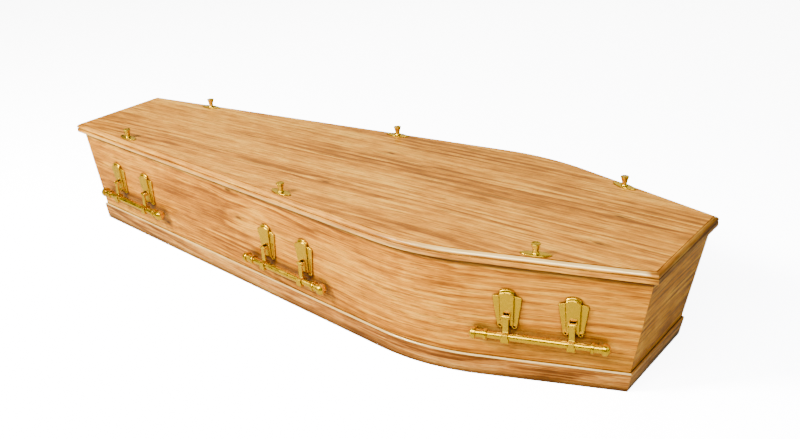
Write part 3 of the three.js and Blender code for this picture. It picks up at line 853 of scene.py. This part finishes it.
def make_leaf(name, place, node):
    outline = []
    for i in range(2 * LEAF_STEPS):
        angle = math.pi * i / LEAF_STEPS
        rise = abs(math.sin(angle))
        belly = math.copysign(rise * (1 - LEAF_POINT + LEAF_POINT * rise), math.sin(angle))
        outline.append(Vector((LEAF_LENGTH / 2 * math.cos(angle), LEAF_WIDTH / 2 * belly)))
    bm = rounded_slab(outline, LEAF_THICKNESS, LEAF_BEVEL)
    bm = drill(bm, [(0, 0, -LEAF_CUT_OVER, LEAF_THICKNESS + LEAF_CUT_OVER, SHANK_RADIUS + HOLE_GAP)])
    bm.transform(place @ Matrix.Translation((0, 0, TOUCH_GAP)))
    return make_object(name, bm, GILT, BODY, [node])


# Handles: each hangs on a level hinge line that stands off the face

HINGE_OUT = 19
ARM_SPACING = 156
LEAN_RISE = 20
# Outlines drawn flat are turned so that X stays along the face, or so that X points out of it
FACE_ON = Matrix(((1, 0, 0, 0), (0, 0, 1, 0), (0, 1, 0, 0), (0, 0, 0, 1)))
SIDE_ON = Matrix(((0, 0, 1, 0), (1, 0, 0, 0), (0, 1, 0, 0), (0, 0, 0, 1)))


def face_lean(x, z):
    """How far the box's face leans out from upright at a station and a height."""
    line = box_side(z, 0)
    here = at_station(line, x)
    ahead = (at_station(line, x + 1) - here).normalized()
    above = at_station(box_side(z + LEAN_RISE, 0), x) - here
    return math.atan2(above.dot(Vector((-ahead.y, ahead.x))), LEAN_RISE)


def on_face(point, along, lean):
    """A frame with X along the face, Y out of it and Z up it."""
    upright = Vector((0, 0, 1))
    out = upright.cross(along)
    up = upright * math.cos(lean) + out * math.sin(lean)
    turn = Matrix((along, up.cross(along), up)).transposed().to_4x4()
    return Matrix.Translation(point) @ turn


def turned_over(bm, matrix):
    """The bmesh through a matrix that may mirror it, with its faces pointing out again."""
    bm.transform(matrix)
    bmesh.ops.recalc_face_normals(bm, faces=bm.faces)
    return bm


def bead(path, radius, sides=10):
    """A round bead along a path in the X and Z of the face, with its ends closed."""
    rows = []
    for i, here in enumerate(path):
        run = (path[min(i + 1, len(path) - 1)] - path[max(i - 1, 0)]).normalized()
        across = Vector((run.z, 0, -run.x))
        row = []
        for k in range(sides):
            angle = 2 * math.pi * k / sides
            row.append(here + radius * (math.cos(angle) * across + math.sin(angle) * Vector((0, 1, 0))))
        rows.append(row)
    return skin(rows)


def strap_half_width(z):
    share = (z + STRAP_BELOW) / (STRAP_ABOVE + STRAP_BELOW)
    return (STRAP_FOOT_WIDTH + (STRAP_TOP_WIDTH - STRAP_FOOT_WIDTH) * share) / 2


def make_strap():
    """The raised strap of a back plate, tapered, with its arched top bent back to the wings."""
    shares = [i / STRAP_STEPS for i in range(-STRAP_STEPS, STRAP_STEPS + 1)]
    rows = []
    for share in shares:
        edge = max(0, (abs(share) - STRAP_EDGE) / (1 - STRAP_EDGE))
        front = STRAP_THICKNESS - STRAP_ROUND * (1 - math.sqrt(1 - edge ** 2))
        top = STRAP_ABOVE - STRAP_ARCH * share ** 2
        fold = top - FOLD_HEIGHT
        profile = [(0, -STRAP_BELOW), (front - FOOT_CHAMFER, -STRAP_BELOW)]
        profile += [(front, FOOT_CHAMFER - STRAP_BELOW)]
        profile += [(p.x, p.y) for p in round_arc(front - FOLD_RADIUS, fold, FOLD_RADIUS, 0, FOLD_TURN, 6)]
        profile += [(FOLD_THICKNESS, fold + FOLD_RISE)]
        profile += [(FOLD_THICKNESS - FOLD_ARRIS, fold + FOLD_RISE + FOLD_ARRIS)]
        profile += [(STRAP_TIP + TIP_ROUND_OUT, top - TIP_ROUND_DROP), (STRAP_TIP, top), (0, top)]
        rows.append([Vector((share * strap_half_width(z), out, z)) for out, z in profile])
    return skin(rows)


def make_wings():
    """Both wings in one plate, with a pierced and beaded scroll at each foot."""
    scroll_x = WING_FOOT_WIDTH / 2 - SCROLL_RADIUS
    corner = Vector((WING_TOP_WIDTH / 2 - WING_CORNER, WING_ABOVE - WING_SLOPE - WING_CORNER))
    right = round_arc(scroll_x, -WING_BELOW, SCROLL_RADIUS, -180, 0, 16)
    right += round_arc(corner.x, corner.y, WING_CORNER, 0, WING_CORNER_TURN, 6)
    right += [Vector((strap_half_width(WING_ABOVE), WING_ABOVE))]
    left = [Vector((-p.x, p.y)) for p in reversed(right)]
    wings = turned_over(rounded_slab(right + left, WING_THICKNESS, WING_ROUND), FACE_ON)
    scroll_z = -WING_BELOW - SCROLL_HOLE_DROP
    for hand in (1, -1):
        hole = rod(SCROLL_HOLE, 4 * WING_THICKNESS)
        place = Matrix.Translation((hand * scroll_x, 0, scroll_z))
        hole.transform(place @ Matrix.Rotation(math.pi / 2, 4, "X"))
        wings = combine(wings, hole, "DIFFERENCE")
        curl = round_arc(0, 0, SCROLL_HOLE + CURL_RADIUS * CURL_LAP, CURL_START, CURL_END, 18)
        path = [Vector((hand * (scroll_x + p.x), WING_THICKNESS - CURL_SINK, scroll_z + p.y)) for p in curl]
        wings = join(wings, bead(path, CURL_RADIUS))
        low = CURL_RADIUS - WING_BELOW + RIDGE_FOOT_GAP
        high = WING_ABOVE - WING_SLOPE / 2 - RIDGE_TOP_GAP
        path = []
        for z in (low, high):
            path.append(Vector((hand * (strap_half_width(z) + RIDGE_OFF), WING_THICKNESS - RIDGE_SINK, z)))
        wings = join(wings, bead(path, RIDGE_RADIUS))
    return wings


def make_lug(lean, x):
    """A cheek of the back plate on one side of the arm's eye, round the hinge line."""
    out, up = HINGE_OUT * math.cos(lean), HINGE_OUT * math.sin(lean)
    outline = [Vector((STRAP_THICKNESS / 2, up - LUG_RADIUS))]
    outline += round_arc(out, up, LUG_RADIUS, -90, 90, 14)
    outline += [Vector((STRAP_THICKNESS / 2, up + LUG_RADIUS))]
    lug = rounded_slab(outline, LUG_THICKNESS, LUG_ROUND, LUG_ROUND)
    lug.transform(Matrix.Translation((x, 0, 0)) @ SIDE_ON)
    return lug


def make_back_plate(plain, lean):
    """The plate for a face of one lean: the plain strap and wings with lugs and a hole for the pin."""
    lug_in = ARM_WIDTH / 2 + ARM_GAP
    plate = join(plain.copy(), make_lug(lean, lug_in), make_lug(lean, -lug_in - LUG_THICKNESS))
    hole = rod(PIN_RADIUS + HOLE_GAP, 2 * ARM_WIDTH)
    place = Matrix.Translation((0, HINGE_OUT * math.cos(lean), HINGE_OUT * math.sin(lean)))
    hole.transform(place @ Matrix.Rotation(math.pi / 2, 4, "Y"))
    return combine(plate, hole, "DIFFERENCE")


def make_arm():
    """A handle arm from the hinge line down: eye, flat strap, collar round the bar and hinge pin."""
    back = ARM_THICKNESS / 2
    reach = BAR_RADIUS + COLLAR_WALL
    meet = math.degrees(math.asin(back / EYE_RADIUS))
    outline = round_arc(0, 0, EYE_RADIUS, meet - 90, 270 - meet, 28)
    swell = []
    for i in range(SWELL_STEPS + 1):
        share = i / SWELL_STEPS
        out = back + (reach - back) * (1 - math.cos(math.pi * share)) / 2
        swell.append(Vector((out, reach + SWELL_ABOVE - ARM_DROP - SWELL_HEIGHT * share)))
    outline += [Vector((-p.x, p.y)) for p in swell]
    outline += [Vector((-reach, -ARM_DROP - COLLAR_LAP)), Vector((reach, -ARM_DROP - COLLAR_LAP))]
    outline += list(reversed(swell))
    arm = rounded_slab(outline, ARM_WIDTH, ARM_ROUND, ARM_ROUND)
    arm.transform(Matrix.Translation((-ARM_WIDTH / 2, 0, 0)) @ SIDE_ON)
    low = -ARM_DROP - reach
    collar_outline = [Vector((reach, -ARM_DROP)), Vector((-reach, -ARM_DROP))]
    collar_outline += round_arc(COLLAR_CORNER - reach, low + COLLAR_CORNER, COLLAR_CORNER, 180, 270, 5)
    collar_outline += round_arc(reach - COLLAR_CORNER, low + COLLAR_CORNER, COLLAR_CORNER, -90, 0, 5)
    collar = rounded_slab(collar_outline, COLLAR_WIDTH, ARM_ROUND, ARM_ROUND)
    collar.transform(Matrix.Translation((-COLLAR_WIDTH / 2, 0, 0)) @ SIDE_ON)
    half = ARM_WIDTH / 2 + ARM_GAP + LUG_THICKNESS + PIN_REACH
    head = [(PIN_RADIUS * share, half - depth) for share, depth in PIN_HEAD]
    pin = lathe([(r, -z) for r, z in head] + list(reversed(head)), sides=20, axis="x")
    hole = rod(BAR_HOLE, 2 * COLLAR_WIDTH, sides=48)
    hole.transform(Matrix.Translation((0, 0, -ARM_DROP)) @ Matrix.Rotation(math.pi / 2, 4, "Y"))
    return combine(join(arm, collar, pin), hole, "DIFFERENCE")


def make_bar():
    """The turned bar: a slightly swelling rod with a ring, a neck and a domed knob at each end."""
    half = BAR_LENGTH / 2
    knob = half - DOME_HEIGHT - KNOB_WIDTH
    neck = knob - NECK_WIDTH
    ring = neck - RING_WIDTH
    crown = half - DOME_HEIGHT
    end = [(BAR_RADIUS + more, x) for more, x in BAR_SWELL]
    end += [(end[-1][0], ring)]
    end += [(RING_RADIUS - less, ring + x) for less, x in RING_EDGE]
    end += [(RING_RADIUS - less, neck - x) for less, x in reversed(RING_EDGE)]
    end += [(NECK_RADIUS, neck), (NECK_RADIUS - NECK_WAIST, neck + NECK_WIDTH / 2), (NECK_RADIUS, knob)]
    end += [(KNOB_RADIUS - less, knob + x) for less, x in KNOB_EDGE]
    end += [(KNOB_RADIUS - less, crown + x) for less, x in KNOB_CROWN]
    end += [(0, half)]
    profile = [(r, -z) for r, z in reversed(end[1:])] + end
    bm = lathe(profile, sides=64, axis="x")
    bmesh.ops.translate(bm, vec=(0, 0, -ARM_DROP), verts=bm.verts)
    return bm


def make_handle(joint, plain_plate, arm, bar):
    """One handle on its joint's hinge line. End a is nearer the foot."""
    key = joint["child"].removeprefix("handle_")
    along = Vector(joint["axis"])
    hinge = Vector(joint["pos_m"]) / MM
    out = Vector((0, 0, 1)).cross(along)
    for end, step in (("a", -1), ("b", 1)):
        middle = hinge + along * (step * math.copysign(ARM_SPACING / 2, along.x))
        lean = face_lean(middle.x, middle.z)
        plate = make_back_plate(plain_plate, lean)
        plate.transform(on_face(middle - out * HINGE_OUT, along, lean))
        node = f"handle_plate_{key}_{end}"
        make_object(f"plate_{key}_{end}", plate, GILT, BODY, [node])
        own_arm = arm.copy()
        own_arm.transform(on_face(middle, along, 0))
        node = f"handle_arm_{key}_{end}"
        make_object(f"arm_{key}_{end}", own_arm, GILT, joint["child"], [node])
    own_bar = bar.copy()
    own_bar.transform(on_face(hinge, along, 0))
    make_object(f"bar_{key}", own_bar, GILT, joint["child"], [f"handle_bar_{key}"])


# Build the boards

wall = wall_section()
plinth = plinth_section()
lid_holes = []
for number, (side, hand) in enumerate(HANDS.items()):
    holes = screw_holes(hand)
    lid_holes += holes
    rows, along_rows = side_run(wall, hand)
    board(f"side_{side}", rows, wall, along_rows, BOX_OAK,
          nodes_named(f"side_board_{side}"), SIDE_PATTERN + number, holes, wall_painted_shade)
    rows, along_rows = side_run(plinth, hand)
    board(f"plinth_run_{side}", rows, plinth, along_rows, PLINTH_OAK,
          [f"plinth_{side}"], SIDE_PLINTH_PATTERN + number, painted_light_of=plinth_painted_highlight)
for number, (end, at_head) in enumerate((("foot", False), ("head", True))):
    rows, along_rows = end_run(wall, at_head)
    board(f"{end}_end", rows, wall, along_rows, BOX_OAK,
          [f"{end}_board"], END_PATTERN + number, painted_light_of=wall_painted_shade)
    rows, along_rows = end_run(plinth, at_head)
    board(f"plinth_run_{end}", rows, plinth, along_rows, PLINTH_OAK,
          [f"plinth_{end}"], END_PLINTH_PATTERN + number)
make_base()
make_lid(lid_holes)
for side, hand in HANDS.items():
    for station, x in SCREW_STATIONS.items():
        place = screw_place(hand, x)
        make_leaf(f"leaf_{side}_{station}", place, f"lid_screw_plate_{side}_{station}")
        make_thumbscrew(f"thumbscrew_{side}_{station}", place, f"lid_screw_{side}_{station}")

plain_plate = join(make_wings(), make_strap())
handle_arm = make_arm()
handle_bar = make_bar()
for joint in frame["joints"]:
    make_handle(joint, plain_plate, handle_arm, handle_bar)


# Stage, light and camera

WARM = (1.0, 0.84, 0.46)
COOL = (0.8, 0.9, 1.0)
FLOOR_SIZE = 14
FLOOR_WHITE = 3.6
FLOOR_GLOW = 7.5
WORLD_STRENGTH = 0.31
WORLD_STOPS = ((0.0, 0.12), (0.22, 0.25), (0.34, 1.1), (0.55, 1.1), (0.7, 0.6), (1.0, 1.0))


def light_path(tree):
    return tree.nodes.new("ShaderNodeLightPath").outputs["Is Camera Ray"]


def make_floor():
    """A pale floor, which the camera sees as a white sweep with the soft shadows kept."""
    mesh = bpy.data.meshes.new("floor")
    corners = [(x * FLOOR_SIZE, y * FLOOR_SIZE, 0) for x, y in ((-1, -1), (1, -1), (1, 1), (-1, 1))]
    mesh.from_pydata(corners, [], [(0, 1, 2, 3)])
    floor = bpy.data.objects.new("floor", mesh)
    bpy.context.scene.collection.objects.link(floor)
    n = Nodes("pale_floor")
    n.shader.inputs["Base Color"].default_value = (0.5, 0.5, 0.5, 1)
    n.shader.inputs["Roughness"].default_value = 0.85
    n.shader.inputs["Specular IOR Level"].default_value = 0.1
    seen = n.node("BsdfDiffuse", {"Color": (*[FLOOR_WHITE / c for c in WARM], 1)})
    glow = n.node("Emission", {"Strength": FLOOR_GLOW})
    swept = n.node("AddShader", {0: seen.outputs[0], 1: glow.outputs[0]})
    both = n.node("MixShader", {0: light_path(n.tree), 1: n.shader.outputs[0], 2: swept.outputs[0]})
    n.put(n.tree.nodes["Material Output"].inputs["Surface"], both.outputs[0])
    mesh.materials.append(n.material)


def make_world():
    """A warm room, dim at the horizon, brightest in a band above it and bright again overhead."""
    world = bpy.data.worlds.new("studio")
    bpy.context.scene.world = world
    world.use_nodes = True
    tree = world.node_tree
    background = tree.nodes["Background"]
    coords = tree.nodes.new("ShaderNodeTexCoord")
    split = tree.nodes.new("ShaderNodeSeparateXYZ")
    ramp = tree.nodes.new("ShaderNodeValToRGB")
    tree.links.new(coords.outputs["Generated"], split.inputs[0])
    tree.links.new(split.outputs[2], ramp.inputs[0])
    elements = ramp.color_ramp.elements
    while len(elements) < len(WORLD_STOPS):
        elements.new(0.5)
    for element, (height, grey) in zip(elements, WORLD_STOPS):
        element.position = height
        element.color = (*[grey * c for c in WARM], 1)
    tree.links.new(ramp.outputs["Color"], background.inputs["Color"])
    background.inputs["Strength"].default_value = WORLD_STRENGTH


def add_area(name, place, target, size, power, colour=WARM):
    """A soft light at a place, turned to a target, with its size in metres and its power in watts."""
    light = bpy.data.lights.new(name, "AREA")
    light.shape = "RECTANGLE"
    light.size, light.size_y = size
    light.energy = power
    light.color = colour
    lamp = bpy.data.objects.new(name, light)
    bpy.context.scene.collection.objects.link(lamp)
    lamp.location = place
    lamp.rotation_euler = (Vector(target) - Vector(place)).to_track_quat("-Z", "Y").to_euler()


# The camera as fitted to the photo's outlines: metres, radians and pixels
CAMERA_PLACE = Vector((1.7178, -2.0236, 1.3461))
CAMERA_YAW = 0.6506
CAMERA_PITCH = 0.4217
CAMERA_ROLL = -0.0439
FOCAL_PIXELS = 988.47
FRAME_WIDTH = 800
SENSOR_WIDTH = 36


def make_camera():
    data = bpy.data.cameras.new("camera")
    data.sensor_width = SENSOR_WIDTH
    data.lens = FOCAL_PIXELS / FRAME_WIDTH * data.sensor_width
    camera = bpy.data.objects.new("camera", data)
    bpy.context.scene.collection.objects.link(camera)
    forward = Vector((
        -math.sin(CAMERA_YAW) * math.cos(CAMERA_PITCH),
        math.cos(CAMERA_YAW) * math.cos(CAMERA_PITCH),
        -math.sin(CAMERA_PITCH),
    ))
    level = forward.cross(Vector((0, 0, 1))).normalized()
    upright = level.cross(forward)
    right = math.cos(CAMERA_ROLL) * level + math.sin(CAMERA_ROLL) * upright
    up = -math.sin(CAMERA_ROLL) * level + math.cos(CAMERA_ROLL) * upright
    turn = Matrix((right, up, -forward)).transposed().to_4x4()
    camera.matrix_world = Matrix.Translation(CAMERA_PLACE) @ turn
    bpy.context.scene.camera = camera


make_floor()
make_world()
add_area("key", (-1.6, -2.6, 2.6), (0, 0, 0.2), (0.9, 0.9), 335)
add_area("edge_light", (1.0, -1.9, 2.1), (0.8, -0.2, 0.3), (1.9, 0.8), 85)
add_area("sheen", (-1.9, 3.0, 2.1), (0, 0, 0.35), (4.2, 1.6), 22)
add_area("end_light", (3.2, 0.5, 1.1), (0.98, 0, 0.2), (1.5, 1.2), 15, COOL)
make_camera()
